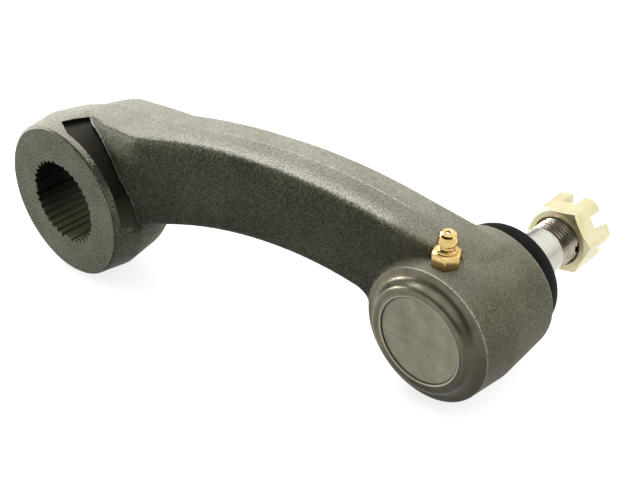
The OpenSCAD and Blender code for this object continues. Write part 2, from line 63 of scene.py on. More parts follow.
# Arm forging. One drop-forged piece of steel: a boss with a splined bore, a bowed bar and
# a round housing for the ball joint. The scale is left on, so it is grey-olive and grainy.
# The bore, the nut seat, the gap beside the boss and the housing's front are machined.
# Sizes are in mm. The bar runs back by BAR_SLOPE for each mm that it runs along X.
MM = 0.001
BALL_X, BALL_Z = 146.3, -5.6
BAR_SLOPE = 0.302
BORE_R, GROOVE_R = 15.9, 16.9
PITCHES, BLANK_EVERY = 36, 9
BOSS_BACK, NUT_SEAT_R = 33, 23
GAP_R, GAP_BACK, GAP_START, GAP_SWEEP = 31.67, 14.4, -8, 118
WALL_OFFSET = 1.45
HOUSING_FRONT, HOUSING_BACK = 35.1, 73.7
FITTING_Y, FITTING_SEAT_Z, FITTING_SEAT_R, FITTING_HOLE_R = 43.3, 19.277, 5.7, 3.2


def linear(code):
    """Linear RGBA of an sRGB hex colour."""
    values = [int(code[i:i + 2], 16) / 255 for i in (1, 3, 5)]
    return [v / 12.92 if v <= 0.04045 else ((v + 0.055) / 1.055) ** 2.4 for v in values] + [1]


def add(tree, kind, links=(), inputs=(), stops=(), **settings):
    """A node with its settings, its input values and the links that end in it.

    stops are a colour ramp's (position, hex colour) or a curve's (value, factor) pairs.
    """
    node = tree.nodes.new(kind)
    for name, value in settings.items():
        setattr(node, name, value)
    for name, value in dict(inputs).items():
        node.inputs[name].default_value = value
    for name, source in dict(links).items():
        tree.links.new(source, node.inputs[name])
    if kind == "ShaderNodeValToRGB":
        while len(node.color_ramp.elements) < len(stops):
            node.color_ramp.elements.new(0.5)
        for element, (position, code) in zip(node.color_ramp.elements, stops):
            element.position = position
            element.color = linear(code)
    if kind == "ShaderNodeFloatCurve":
        node.mapping.use_clip = False
        node.mapping.extend = "HORIZONTAL"
        points = node.mapping.curves[0].points
        while len(points) < len(stops):
            points.new(0.5, 0.5)
        for point, stop in zip(points, stops):
            point.location = stop
            point.handle_type = "VECTOR"
        node.mapping.update()
    return node


def new_material(name, **values):
    """A material with a Principled shader, its constant values set, and its parts."""
    made = bpy.data.materials.new(name)
    made.use_nodes = True
    shader = made.node_tree.nodes["Principled BSDF"]
    for socket, value in values.items():
        shader.inputs[socket.replace("_", " ").title().replace("Ior", "IOR")].default_value = value
    return made, made.node_tree, shader


def spots(mm):
    """Noise scale for spots about that many mm wide."""
    return 1 / (mm * MM)


def share(value):
    """A value kept between 0 and 1."""
    return min(1, max(0, value))


def spun(profile, x=BALL_X, z=BALL_Z, steps=96, sweep=360, start=0):
    """A solid turned about a line along Y: profile is (radius, y) in mm, closed or ending on the axis."""
    bm = bmesh.new()
    turn = Matrix.Rotation(math.radians(-start), 3, "Y")
    ring = [bm.verts.new(turn @ Vector((r, y, 0)) * MM + Vector((x, 0, z)) * MM) for r, y in profile]
    edges = []
    for i in range(len(ring)):
        after = (i + 1) % len(ring)
        if profile[i][0] + profile[after][0] > 0:
            edges.append(bm.edges.new((ring[i], ring[after])))
    caps = [bm.faces.new(ring)] if sweep < 360 else []
    bmesh.ops.spin(bm, geom=ring + edges + caps, cent=(x * MM, 0, z * MM), axis=(0, -1, 0),
                   angle=math.radians(sweep), steps=steps, use_merge=sweep == 360)
    bmesh.ops.remove_doubles(bm, verts=bm.verts, dist=1e-6)
    bmesh.ops.recalc_face_normals(bm, faces=bm.faces)
    return bm


def prism(corners, push):
    """A solid pushed out from a flat outline. Corners and push are in mm."""
    bm = bmesh.new()
    face = bm.faces.new([bm.verts.new(Vector(corner) * MM) for corner in corners])
    grown = bmesh.ops.extrude_face_region(bm, geom=[face])
    moved = [g for g in grown["geom"] if isinstance(g, bmesh.types.BMVert)]
    bmesh.ops.translate(bm, verts=moved, vec=Vector(push) * MM)
    bmesh.ops.recalc_face_normals(bm, faces=bm.faces)
    return bm


def piece(name, bm, *materials):
    """A mesh object from bm, with its materials."""
    data = bpy.data.meshes.new(name)
    bm.to_mesh(data)
    bm.free()
    for m in materials:
        data.materials.append(m)
    obj = bpy.data.objects.new(name, data)
    bpy.context.scene.collection.objects.link(obj)
    return obj


def settle(obj):
    """Bakes the modifiers of obj into its mesh."""
    bpy.context.view_layer.update()
    baked = bpy.data.meshes.new_from_object(obj.evaluated_get(bpy.context.evaluated_depsgraph_get()))
    obj.modifiers.clear()
    obj.data = baked


def cut(obj, bm, index):
    """Cuts the solid bm out of obj. The new faces take the material slot with that index."""
    for f in bm.faces:
        f.material_index = index
    tool = piece("tool", bm, *obj.data.materials)
    boolean = obj.modifiers.new("cut", "BOOLEAN")
    boolean.operation = "DIFFERENCE"
    boolean.solver = "MANIFOLD"
    boolean.object = tool
    settle(obj)
    bpy.data.objects.remove(tool)


def smooth_by_angle(obj, degrees):
    """Smooth shading, with the edges that bend further than that kept sharp."""
    obj.data.shade_smooth()
    obj.data.set_sharp_from_angle(angle=math.radians(degrees))


# Forging scale: mottled grey-olive and matt, with a hard grain. The real grain is about 0.3 mm,
# and it is drawn twice as coarse so that it shows.
forged, tree, shader = new_material("forged_scale", specular_ior_level=0.12)
place = add(tree, "ShaderNodeTexCoord").outputs["Object"]
patches = add(tree, "ShaderNodeTexNoise", {"Vector": place},
              {"Scale": spots(16), "Detail": 4, "Roughness": 0.6}).outputs["Fac"]
grain = add(tree, "ShaderNodeTexNoise", {"Vector": place},
            {"Scale": spots(0.66), "Detail": 2, "Roughness": 0.7}).outputs["Fac"]
mottle = add(tree, "ShaderNodeMath", {0: patches, 2: grain}, {1: 0.35}, operation="MULTIPLY_ADD").outputs[0]
scale = add(tree, "ShaderNodeValToRGB", {"Fac": mottle},
            stops=[(0.53, "#403f33"), (0.68, "#6a6957"), (0.83, "#979682")]).outputs["Color"]
# A paler copy of the scale's colours: painted light for the faces that turn up.
painted_light_tone = add(tree, "ShaderNodeValToRGB", {"Fac": mottle},
              stops=[(0.48, "#716f63"), (0.68, "#8a887c"), (0.88, "#a2a095")]).outputs["Color"]

# Painted light: faces that turn upwards are painted paler, as if lit from above, and on the housing
# the faces that turn downwards too, as if lit from the floor. The border is hard and ragged on the bar,
# with a line of painted shade just below it, and soft on the housing, which is browner. Curves over a
# place are in mm.
in_mm = add(tree, "ShaderNodeVectorMath", {0: place}, {"Scale": 1 / MM}, operation="SCALE").outputs[0]
along = add(tree, "ShaderNodeSeparateXYZ", {"Vector": in_mm}).outputs
facing = add(tree, "ShaderNodeAttribute", attribute_name="upward").outputs["Fac"]
ragged = add(tree, "ShaderNodeMath", {0: grain, 2: facing}, {1: 0.3}, operation="MULTIPLY_ADD").outputs[0]
# Painted light reaches further down on the boss.
boss_lift = add(tree, "ShaderNodeFloatCurve", {"Value": along["X"]},
                stops=[(-40, 0.4), (-10, 0.25), (2, 0), (100, 0)]).outputs[0]
ragged = add(tree, "ShaderNodeMath", {0: ragged, 1: boss_lift}, operation="ADD").outputs[0]
hard = add(tree, "ShaderNodeFloatCurve", {"Value": ragged},
           stops=[(-1, 0.1), (0.6, 0), (0.94, 0), (1, 0.9), (1.3, 1)]).outputs[0]
gentle = add(tree, "ShaderNodeFloatCurve", {"Value": facing},
             stops=[(-1, 0.8), (-0.2, 0.7), (0.2, 0), (0.65, 0), (1, 1)]).outputs[0]
house = add(tree, "ShaderNodeFloatCurve", {"Value": along["X"]},
            stops=[(100, 0), (120, 0), (135, 1), (200, 1)]).outputs[0]
painted_light_share = add(tree, "ShaderNodeMix", {"Factor": house, 2: hard, 3: gentle}).outputs[0]
shade = add(tree, "ShaderNodeMix", {"Factor": painted_light_share, 6: scale, 7: painted_light_tone}, data_type="RGBA").outputs[2]
# Painted shade: a dark line just under the pale border on the bar.
below = add(tree, "ShaderNodeFloatCurve", {"Value": ragged},
            stops=[(0.4, 0), (0.6, 0), (0.74, 0.55), (0.9, 0.7), (0.95, 0), (1.2, 0)]).outputs[0]
on_bar = add(tree, "ShaderNodeFloatCurve", {"Value": along["X"]},
             stops=[(-4, 0), (2, 1), (100, 1), (120, 0), (200, 0)]).outputs[0]
painted_edge_shade = add(tree, "ShaderNodeMath", {0: below, 1: on_bar}, operation="MULTIPLY").outputs[0]
shade = add(tree, "ShaderNodeMix", {"Factor": painted_edge_shade, 6: shade}, {7: linear("#26251d")},
            data_type="RGBA").outputs[2]
browned = add(tree, "ShaderNodeFloatCurve", {"Value": along["X"]},
              stops=[(90, 0), (120, 0.08), (150, 0.55), (200, 0.55)]).outputs[0]
shade = add(tree, "ShaderNodeMix", {"Factor": browned, 6: shade}, {7: linear("#5a5440")},
            data_type="RGBA").outputs[2]

# Handling has worn it bright along the bar's upper front edge, on the edge beside the gap and on the
# housing's rims, and the trimmed flash leaves a thin line where the dies met. On the rims the line is
# kept to the faces that turn upwards, so there it is worn metal and a painted highlight.
across = add(tree, "ShaderNodeVectorMath", {0: in_mm}, {1: (-BAR_SLOPE, 1, 0)}, operation="DOT_PRODUCT")
lines = add(tree, "ShaderNodeFloatCurve", {"Value": across.outputs["Value"]},
            stops=[(-0.4, 0), (1.2, 1), (2.5, 0.6), (6, 0),
                   (10.3, 0), (10.8, 0.8), (11.2, 0), (20, 0)]).outputs[0]
half = add(tree, "ShaderNodeFloatCurve", {"Value": along["X"]},
           stops=[(30, 0), (60, 0.6), (100, 1), (124, 1), (130, 0), (160, 0)]).outputs[0]
bright = add(tree, "ShaderNodeMath", {0: lines, 1: half}, operation="MULTIPLY").outputs[0]
flat = add(tree, "ShaderNodeVectorMath", {0: in_mm}, {1: (1, 0, 1)}, operation="MULTIPLY").outputs[0]
from_bore = add(tree, "ShaderNodeVectorMath", {0: flat}, operation="LENGTH").outputs["Value"]
arc = add(tree, "ShaderNodeFloatCurve", {"Value": from_bore},
          stops=[(31.4, 0), (31.6, 1), (31.9, 0.9), (32.3, 0), (34, 0)]).outputs[0]
root = add(tree, "ShaderNodeFloatCurve", {"Value": along["Y"]},
           stops=[(3, 0), (6, 1), (13.8, 1), (14.2, 0), (20, 0)]).outputs[0]
right = add(tree, "ShaderNodeFloatCurve", {"Value": along["X"]},
            stops=[(-1, 0), (3, 1), (60, 1)]).outputs[0]
root = add(tree, "ShaderNodeMath", {0: root, 1: right}, operation="MULTIPLY").outputs[0]
bright = add(tree, "ShaderNodeMath", {0: arc, 1: root, 2: bright}, operation="MULTIPLY_ADD").outputs[0]
rims = add(tree, "ShaderNodeFloatCurve", {"Value": along["Y"]},
           stops=[(34, 0), (34.6, 0), (HOUSING_FRONT, 1), (35.5, 0),
                  (72.7, 0), (73.2, 1), (73.5, 0.6), (HOUSING_BACK, 0), (80, 0)]).outputs[0]
# Painted highlight: the rims' bright line shows only where they face upwards.
above = add(tree, "ShaderNodeFloatCurve", {"Value": facing},
            stops=[(-1, 0), (-0.4, 0.1), (0.2, 1), (1, 1)]).outputs[0]
rim_wear_and_highlight = add(tree, "ShaderNodeMath", {0: house, 1: above}, operation="MULTIPLY").outputs[0]
bright = add(tree, "ShaderNodeMath", {0: rims, 1: rim_wear_and_highlight, 2: bright}, operation="MULTIPLY_ADD").outputs[0]
peaks = add(tree, "ShaderNodeFloatCurve", {"Value": grain},
            stops=[(0.3, 0.1), (0.45, 0.4), (0.6, 1), (0.8, 1)]).outputs[0]
bright = add(tree, "ShaderNodeMath", {0: bright, 1: peaks}, operation="MULTIPLY", use_clamp=True).outputs[0]
wear_and_highlight = add(tree, "ShaderNodeMix", {"Factor": bright, 6: shade}, {7: linear("#d2d0c2")}, data_type="RGBA")
tree.links.new(wear_and_highlight.outputs[2], shader.inputs["Base Color"])
dull = add(tree, "ShaderNodeMapRange", {"Value": patches},
           {"From Min": 0.3, "From Max": 0.7, "To Min": 0.45, "To Max": 0.62})
tree.links.new(dull.outputs[0], shader.inputs["Roughness"])
dents = add(tree, "ShaderNodeBump", {"Height": patches}, {"Strength": 0.25, "Distance": 1.2 * MM})
bumps = add(tree, "ShaderNodeBump", {"Height": grain, "Normal": dents.outputs[0]},
            {"Strength": 0.6, "Distance": 0.6 * MM})
tree.links.new(bumps.outputs[0], shader.inputs["Normal"])


def from_ball_axis(tree, place):
    """How far a place lies from the housing's axis, in mm."""
    off = add(tree, "ShaderNodeVectorMath", {0: place}, {1: (BALL_X * MM, 0, BALL_Z * MM)},
              operation="SUBTRACT")
    flat = add(tree, "ShaderNodeVectorMath", {0: off.outputs[0]}, {1: (1 / MM, 0, 1 / MM)},
               operation="MULTIPLY")
    return add(tree, "ShaderNodeVectorMath", {0: flat.outputs[0]}, operation="LENGTH").outputs["Value"]


# Turned steel of the machined faces: brownish and smooth, with a soft broad shine. The lip's lower right is
# painted darker as shade, and a pale ring on its rolled inner edge is a painted highlight. The turning
# marks are finer than the render shows, so they are drawn about 1 mm wide.
turned, tree, shader = new_material("turned_steel", metallic=0.6, roughness=0.36, specular_ior_level=0.3)
place = add(tree, "ShaderNodeTexCoord").outputs["Object"]
stain = add(tree, "ShaderNodeTexNoise", {"Vector": place}, {"Scale": spots(6), "Detail": 5}).outputs["Fac"]
steel = add(tree, "ShaderNodeValToRGB", {"Fac": stain},
            stops=[(0.3, "#615d4c"), (0.7, "#7f7a67")]).outputs["Color"]
# Painted shade: darker towards the lower right.
downhill = add(tree, "ShaderNodeVectorMath", {0: place}, {1: (0.6, 0, -0.8)}, operation="DOT_PRODUCT")
painted_lower_shade = add(tree, "ShaderNodeMapRange", {"Value": downhill.outputs["Value"]},
             {"From Min": 87 * MM, "From Max": 108 * MM, "To Max": 0.75}).outputs[0]
steel = add(tree, "ShaderNodeMix", {"Factor": painted_lower_shade, 6: steel}, {7: linear("#322e24")},
            data_type="RGBA").outputs[2]
# Painted highlight: a pale ring on the lip's rolled inner edge.
painted_crest_highlight = add(tree, "ShaderNodeFloatCurve", {"Value": from_ball_axis(tree, place)},
              stops=[(15.5, 0), (16, 0.75), (16.6, 0.75), (17, 0), (18, 0)]).outputs[0]
steel = add(tree, "ShaderNodeMix", {"Factor": painted_crest_highlight, 6: steel}, {7: linear("#bdb8a4")},
            data_type="RGBA").outputs[2]
tree.links.new(steel, shader.inputs["Base Color"])
marks = add(tree, "ShaderNodeTexNoise", {"Vector": place}, {"Scale": spots(1.1), "Detail": 3}).outputs["Fac"]
relief = add(tree, "ShaderNodeBump", {"Height": marks},
             {"Strength": 0.25, "Distance": 0.2 * MM})
tree.links.new(relief.outputs[0], shader.inputs["Normal"])

# Oiled steel of the bore and the gap: nearly black, with hardly any shine. Some of the dark is oil, the
# rest is painted shade of these recesses. The gap runs out below into the colour of the forging.
oil_and_shade, tree, shader = new_material("oil_and_shade_steel", roughness=0.6, specular_ior_level=0.05)
place = add(tree, "ShaderNodeTexCoord").outputs["Object"]
film = add(tree, "ShaderNodeTexNoise", {"Vector": place}, {"Scale": spots(4), "Detail": 4}).outputs["Fac"]
# Oil and painted shade: the near-black of the recesses.
dark = add(tree, "ShaderNodeValToRGB", {"Fac": film},
           stops=[(0.3, "#1b1813"), (0.7, "#2b2720")]).outputs["Color"]
downhill = add(tree, "ShaderNodeVectorMath", {0: place}, {1: (0.35, 0, -1)}, operation="DOT_PRODUCT")
fade = add(tree, "ShaderNodeMapRange", {"Value": downhill.outputs["Value"]},
           {"From Min": -2 * MM, "From Max": 11 * MM}).outputs[0]
run_out = add(tree, "ShaderNodeMix", {"Factor": fade, 6: dark}, {7: linear("#605e4c")}, data_type="RGBA")
tree.links.new(run_out.outputs[2], shader.inputs["Base Color"])
relief = add(tree, "ShaderNodeBump", {"Height": film},
             {"Strength": 0.15, "Distance": 0.3 * MM})
tree.links.new(relief.outputs[0], shader.inputs["Normal"])

# The blank is the CAD solid with its bore, housing and gap filled, softened as a forging is.
bm = bmesh.new()
bm.from_mesh(nodes["arm_forging"].data)
bmesh.ops.remove_doubles(bm, verts=bm.verts, dist=0.02 * MM)
for plug in (spun([(0, -3), (29.6, -3), (29.9, 0.6), (18, 2), (18, BOSS_BACK), (0, BOSS_BACK)], 0, 0),
             spun([(0, 28), (24.6, 28), (24.9, 35), (24.2, 60), (20, HOUSING_BACK), (0, HOUSING_BACK)]),
             spun([(20, 0.3), (29.9, 0.3), (31.4, 12), (31, 14.5), (20, 14.5)], 0, 0, 48, GAP_SWEEP, -10)):
    extra = bpy.data.meshes.new("plug")
    plug.to_mesh(extra)
    plug.free()
    bm.from_mesh(extra)
    bpy.data.meshes.remove(extra)
arm = piece("arm", bm, forged, turned, oil_and_shade)
SCALE_SLOT, TURNED_SLOT, OIL_AND_SHADE_SLOT = range(3)
blank = arm.modifiers.new("blank", "REMESH")
blank.mode = "VOXEL"
blank.voxel_size = 0.6 * MM
soft = arm.modifiers.new("soft", "SMOOTH")
soft.factor = 0.5
soft.iterations = 4
settle(arm)

# The dies were rounder still where the bar runs out over the boss and on the housing's side.
CROWN_X, CROWN_Y, CROWN_Z = -5, 13, 26
SIDE_X, SIDE_Y, SIDE_Z = 142, 53.5, 2
crown = arm.vertex_groups.new(name="crown")
side = arm.vertex_groups.new(name="side")
for v in arm.data.vertices:
    x, y, z = v.co / MM
    on_crown = share(1.6 - abs(x - CROWN_X) / 6) * share((z - CROWN_Z) / 3) * share(4 - abs(y - CROWN_Y) / 3)
    on_side = share((x - SIDE_X) / 4) * share((z - SIDE_Z) / 4) * share(4.2 - abs(y - SIDE_Y) / 4.2)
    for group, weight in ((crown, on_crown), (side, on_side)):
        if weight > 0:
            group.add([v.index], weight, "REPLACE")
for group, passes in ((crown, 24), (side, 90)):
    flow = arm.modifiers.new("flow", "SMOOTH")
    flow.factor = 0.5
    flow.iterations = passes
    flow.vertex_group = group.name
settle(arm)

# The root's back and the boss's upper left stand a little proud, the dip between them is filled,
# and the housing's upper back edge is rounder.
ROOT_PROUD, DIP_FILL, BOSS_PROUD, EDGE_DROP = 1.4, 0.5, 0.55, 1
EDGE_FROM = 65
top = cad_box[1].z / MM - 0.1
for v in arm.data.vertices:
    x, y, z = v.co / MM
    lift = ROOT_PROUD * share((x + 9) / 14) * share((75 - x) / 45) * share((y - 13) / 9)
    lift *= share((z - 18) / 10)
    if z > 20:
        lift += DIP_FILL * math.exp(-((x + 3) / 4) ** 2 - ((y - 26) / 4) ** 2)
    v.co.z += lift * MM * share((top - z) / 1.2)
    away = math.hypot(x, z)
    if away > 25 and x < 0 and y < 30:
        swell = BOSS_PROUD * math.exp(-((math.degrees(math.atan2(z, x)) - 125) / 22) ** 2)
        v.co.xz += swell * MM * Vector((x, z)) / away
    away = math.hypot(x - BALL_X, z - BALL_Z)
    if away > 20 and y > EDGE_FROM and z > 2:
        drop = EDGE_DROP * min(1, (z - 2) / 14) * ((y - EDGE_FROM) / (HOUSING_BACK - EDGE_FROM)) ** 2
        v.co.xz -= drop * MM * Vector((x - BALL_X, z - BALL_Z)) / away

# Seat and hole for the grease fitting.
for bore_r, low, high in ((FITTING_SEAT_R, FITTING_SEAT_Z, 30), (FITTING_HOLE_R, 0, 24)):
    bm = bmesh.new()
    upright = Matrix.Translation(Vector((BALL_X, FITTING_Y, (low + high) / 2)) * MM)
    bmesh.ops.create_cone(bm, cap_ends=True, segments=40, radius1=bore_r * MM, radius2=bore_r * MM,
                          depth=(high - low) * MM, matrix=upright)
    cut(arm, bm, SCALE_SLOT)

# Splined bore: a groove at each pitch, but a blank at each quarter.
BROACH_FROM, BROACH_RUN = -2, 40
land_before, land_after = (-5, -3.4, -1.8), 3
groove = ((BORE_R, -0.8), (GROOVE_R, -0.5), (GROOVE_R, 0.5), (BORE_R, 0.8))


def on_land(degrees):
    """A corner of the bore's outline on one of its lands."""
    a = math.radians(degrees)
    return BORE_R * math.cos(a), BROACH_FROM, BORE_R * math.sin(a)


outline = []
for k in range(PITCHES):
    middle = 180 + k * 360 / PITCHES
    c, s = math.cos(math.radians(middle)), math.sin(math.radians(middle))
    outline += [on_land(middle + step) for step in land_before]
    if k % BLANK_EVERY:
        outline += [(r * c - w * s, BROACH_FROM, r * s + w * c) for r, w in groove]
    outline.append(on_land(middle + land_after))
cut(arm, prism(outline, (0, BROACH_RUN, 0)), OIL_AND_SHADE_SLOT)

# Front face of the boss with its bevels, and the nut seat on the back.
cut(arm, spun([(0, -6), (34, -6), (34, 4.6), (30.1, 0.7), (29.4, 0), (16.2, 0), (15.8, 0.4), (0, 0.4)], 0, 0),
    SCALE_SLOT)
cut(arm, spun([(0, BOSS_BACK), (NUT_SEAT_R, BOSS_BACK), (NUT_SEAT_R, 40), (0, 40)], 0, 0), TURNED_SLOT)

# Gap turned between the boss's side and the arm's root: its wall is set off to one side, so that
# it runs out below, and its upper end is oblique.
gap = piece("gap", spun([(20, 4.6), (28.4, 4.6), (29, 3.9), (29.7, 3.1), (30.4, 2.6), (GAP_R, 2.2),
                         (GAP_R, GAP_BACK), (20, GAP_BACK)], 0, 0, 96, GAP_SWEEP, GAP_START),
            forged, turned, oil_and_shade)
lean = math.radians(GAP_START)
cut(gap, spun([(0, 0), (28.5, 0), (32.74, 34.5), (0, 34.5)],
              WALL_OFFSET * math.cos(lean), WALL_OFFSET * math.sin(lean)), TURNED_SLOT)
oblique = ((-60, 0), (5.5, 0), (5.3, 2.3), (-3.4, 6.1), (2.98, 15.4), (-60, 15.4))
cut(gap, prism([(x, y, 0) for x, y in oblique], (0, 0, 60)), TURNED_SLOT)
bm = bmesh.new()
bm.from_mesh(gap.data)
bpy.data.objects.remove(gap)
cut(arm, bm, OIL_AND_SHADE_SLOT)

# Front of the housing: its edge, the hollow, the rolled lip, the seat behind the lip that holds the
# cover plate, and the room for the ball joint with its opening at the back.
hollow = [(0, 20), (26.5, 20), (26.5, 35.3), (25, HOUSING_FRONT), (24.85, 34.75), (24.5, 34.6), (23.8, 34.6),
          (23, 34.5), (22.3, 34.3), (21.7, 33.95), (21.2, 33.4)]
lip = [(20.85, 32.8), (20.55, 32.15), (20.25, 31.5), (19.9, 31), (19.4, 30.68), (18.8, 30.53), (18.1, 30.55),
       (17.7, 30.75), (17.2, 30.6), (16.7, 30.6), (16.3, 30.8), (16.25, 31), (16.5, 31.05)]
plate_seat = [(18.2, 31.05), (18.2, 33.75)]
room = [(17.2, 33.75), (17.2, 61.75), (12.3, 61.75), (15.61, HOUSING_BACK), (15.61, 76), (0, 76)]
cut(arm, spun(hollow + lip + plate_seat + room), TURNED_SLOT)
smooth_by_angle(arm, 32)

# The forging's material reads how far each face turns upwards, to paint light and shade by it.
upward = arm.data.attributes.new("upward", "FLOAT", "CORNER")
upward.data.foreach_set("value", [n.vector.z for n in arm.data.corner_normals])
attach(arm, "arm")
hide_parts("arm_forging")

# Cover plate. A disc pressed from steel sheet that closes the housing's front.
# The forging's lip is rolled over its edge, so only its face shows.


def dress(name, material, round_edges=0):
    """Gives a CAD node its material and, in mm, softened edges."""
    obj = nodes[name]
    obj.data.materials.clear()
    obj.data.materials.append(material)
    if round_edges:
        weld = obj.modifiers.new("weld", "WELD")
        weld.merge_threshold = 0.01 * MM
        bevel = obj.modifiers.new("round", "BEVEL")
        bevel.width = round_edges * MM
        bevel.segments = 2
        bevel.limit_method = "ANGLE"
        bevel.angle_limit = math.radians(28)
        bevel.harden_normals = True


# Pressed plate: dull grey-olive steel, clouded and finely pitted, with painted shade along the lip's seam.
pressed, tree, shader = new_material("pressed_plate", metallic=0.4, roughness=0.5)
place = add(tree, "ShaderNodeTexCoord").outputs["Object"]
cloud = add(tree, "ShaderNodeTexNoise", {"Vector": place},
            {"Scale": spots(8), "Detail": 6, "Roughness": 0.65}).outputs["Fac"]
plate = add(tree, "ShaderNodeValToRGB", {"Fac": cloud},
            stops=[(0.3, "#837e69"), (0.5, "#96907a"), (0.7, "#a59f89")]).outputs["Color"]
# Painted shade: a dark ring where the plate meets the lip.
painted_seam_shade = add(tree, "ShaderNodeFloatCurve", {"Value": from_ball_axis(tree, place)},
           stops=[(15, 0), (15.6, 0), (16.1, 0.9), (20, 0.9)]).outputs[0]
plate = add(tree, "ShaderNodeMix", {"Factor": painted_seam_shade, 6: plate}, {7: linear("#24211a")},
            data_type="RGBA").outputs[2]
tree.links.new(plate, shader.inputs["Base Color"])
pits = add(tree, "ShaderNodeTexNoise", {"Vector": place}, {"Scale": spots(0.9), "Detail": 3}).outputs["Fac"]
relief = add(tree, "ShaderNodeBump", {"Height": pits},
             {"Strength": 0.3, "Distance": 0.3 * MM})
tree.links.new(relief.outputs[0], shader.inputs["Normal"])
dress("cover_plate", pressed)

# Inside the housing: the preload spring and two bearing cups of hardened steel, out of sight.
# Bearing steel: ground to an even grey shine, clouded by grease.
ground, tree, shader = new_material("bearing_steel", metallic=1.0, roughness=0.3)
place = add(tree, "ShaderNodeTexCoord").outputs["Object"]
film = add(tree, "ShaderNodeTexNoise", {"Vector": place}, {"Scale": spots(5), "Detail": 4}).outputs["Fac"]
colour = add(tree, "ShaderNodeValToRGB", {"Fac": film},
             stops=[(0.35, "#6f6a60"), (0.65, "#8f8a80")])
tree.links.new(colour.outputs["Color"], shader.inputs["Base Color"])
for name in ("preload_spring", "lower_bearing", "upper_bearing"):
    dress(name, ground)

# Ball stud. Turned from one bar: ball, neck, taper and a rolled thread with a hole for the cotter pin.
# The ball sits between the bearing cups, and the taper fits the next link of the steering.
BALL_Y, BALL_R = 55, 13.5
NECK_R, NECK_TOP = 7.8, 80
TAPER_R, TAPER_Y = 9.6, 86
THREAD_R, THREAD_PITCH, THREAD_DEPTH = 8.75, 1.5, 0.85
THREAD_AT, THREAD_ROW = 102.6, 0.15
STUD_END, STUD_BEVEL = 118.5, 1.2
COTTER_Y, COTTER_R = 113, 2

# Ground steel: bright, with fine lines round the taper. Real grinding lines are under 0.1 mm,
# and these are drawn 0.4 mm wide so that they show.
polished, tree, shader = new_material("ground_stud", metallic=1.0)
place = add(tree, "ShaderNodeTexCoord").outputs["Object"]
along = add(tree, "ShaderNodeSeparateXYZ", {"Vector": place}).outputs
lines = add(tree, "ShaderNodeTexNoise", {"W": along["Y"]}, {"Scale": spots(0.4), "Detail": 3},
            noise_dimensions="1D").outputs["Fac"]
colour = add(tree, "ShaderNodeValToRGB", {"Fac": lines},
             stops=[(0.3, "#9c9a91"), (0.7, "#bbb9b0")])
tree.links.new(colour.outputs["Color"], shader.inputs["Base Color"])
dull = add(tree, "ShaderNodeMapRange", {"Value": lines},
           {"To Min": 0.18, "To Max": 0.34})
tree.links.new(dull.outputs[0], shader.inputs["Roughness"])
relief = add(tree, "ShaderNodeBump", {"Height": lines},
             {"Strength": 0.15, "Distance": 0.1 * MM})
tree.links.new(relief.outputs[0], shader.inputs["Normal"])

# Rolled thread: as smooth as the taper, but darker and browner with oil.
threaded, tree, shader = new_material("rolled_thread", metallic=1.0, roughness=0.32)
place = add(tree, "ShaderNodeTexCoord").outputs["Object"]
oil = add(tree, "ShaderNodeTexNoise", {"Vector": place}, {"Scale": spots(3.3), "Detail": 4}).outputs["Fac"]
colour = add(tree, "ShaderNodeValToRGB", {"Fac": oil},
             stops=[(0.3, "#8e8676"), (0.7, "#b7b0a2")])
tree.links.new(colour.outputs["Color"], shader.inputs["Base Color"])

neck_angle = math.degrees(math.asin(NECK_R / BALL_R))
profile = [(0, BALL_Y - BALL_R)]
for i in range(1, 31):
    a = math.radians(180 - (180 - neck_angle) * i / 30)
    profile.append((BALL_R * math.sin(a), BALL_Y + BALL_R * math.cos(a)))
profile += [(NECK_R, y) for y in (68, 72, 76, NECK_TOP)]
for start, end, count in (((NECK_R, NECK_TOP), (TAPER_R, TAPER_Y), 4),
                          ((TAPER_R, TAPER_Y), (THREAD_R, THREAD_AT), 6)):
    profile += [tuple(Vector(start).lerp(Vector(end), k / count)) for k in range(1, count + 1)]
rows = int((STUD_END - STUD_BEVEL - THREAD_AT) / THREAD_ROW)
profile += [(THREAD_R, THREAD_AT + THREAD_ROW * k) for k in range(1, rows)]
profile += [(THREAD_R, STUD_END - STUD_BEVEL), (THREAD_R - STUD_BEVEL, STUD_END), (0, STUD_END)]
bm = spun(profile, steps=72)
for v in bm.verts:
    y = v.co.y / MM
    run_in = y - THREAD_AT - 0.2
    if run_in > 0 and y < STUD_END - 0.9:
        out = Vector((v.co.x / MM - BALL_X, v.co.z / MM - BALL_Z))
        turns = math.atan2(out.y, out.x) / (2 * math.pi)
        wave = abs(((y / THREAD_PITCH - turns) % 1) * 2 - 1)
        depth = THREAD_DEPTH * min(1, run_in / 0.8) * share(wave * 1.25 - 0.12)
        out = out.normalized() * (out.length - depth)
        v.co.x, v.co.z = (BALL_X + out.x) * MM, (BALL_Z + out.y) * MM
for f in bm.faces:
    f.material_index = 1 if f.calc_center_median().y > THREAD_AT * MM else 0
stud = piece("stud", bm, polished, threaded)
bm = bmesh.new()
crosswise = Matrix.Translation(Vector((BALL_X, COTTER_Y, BALL_Z)) * MM) @ Matrix.Rotation(math.pi / 2, 4, "Y")
bmesh.ops.create_cone(bm, cap_ends=True, segments=32, radius1=COTTER_R * MM, radius2=COTTER_R * MM,
                      depth=40 * MM, matrix=crosswise)
cut(stud, bm, 1)
smooth_by_angle(stud, 32)
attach(stud, "stud")
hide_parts("ball_stud")

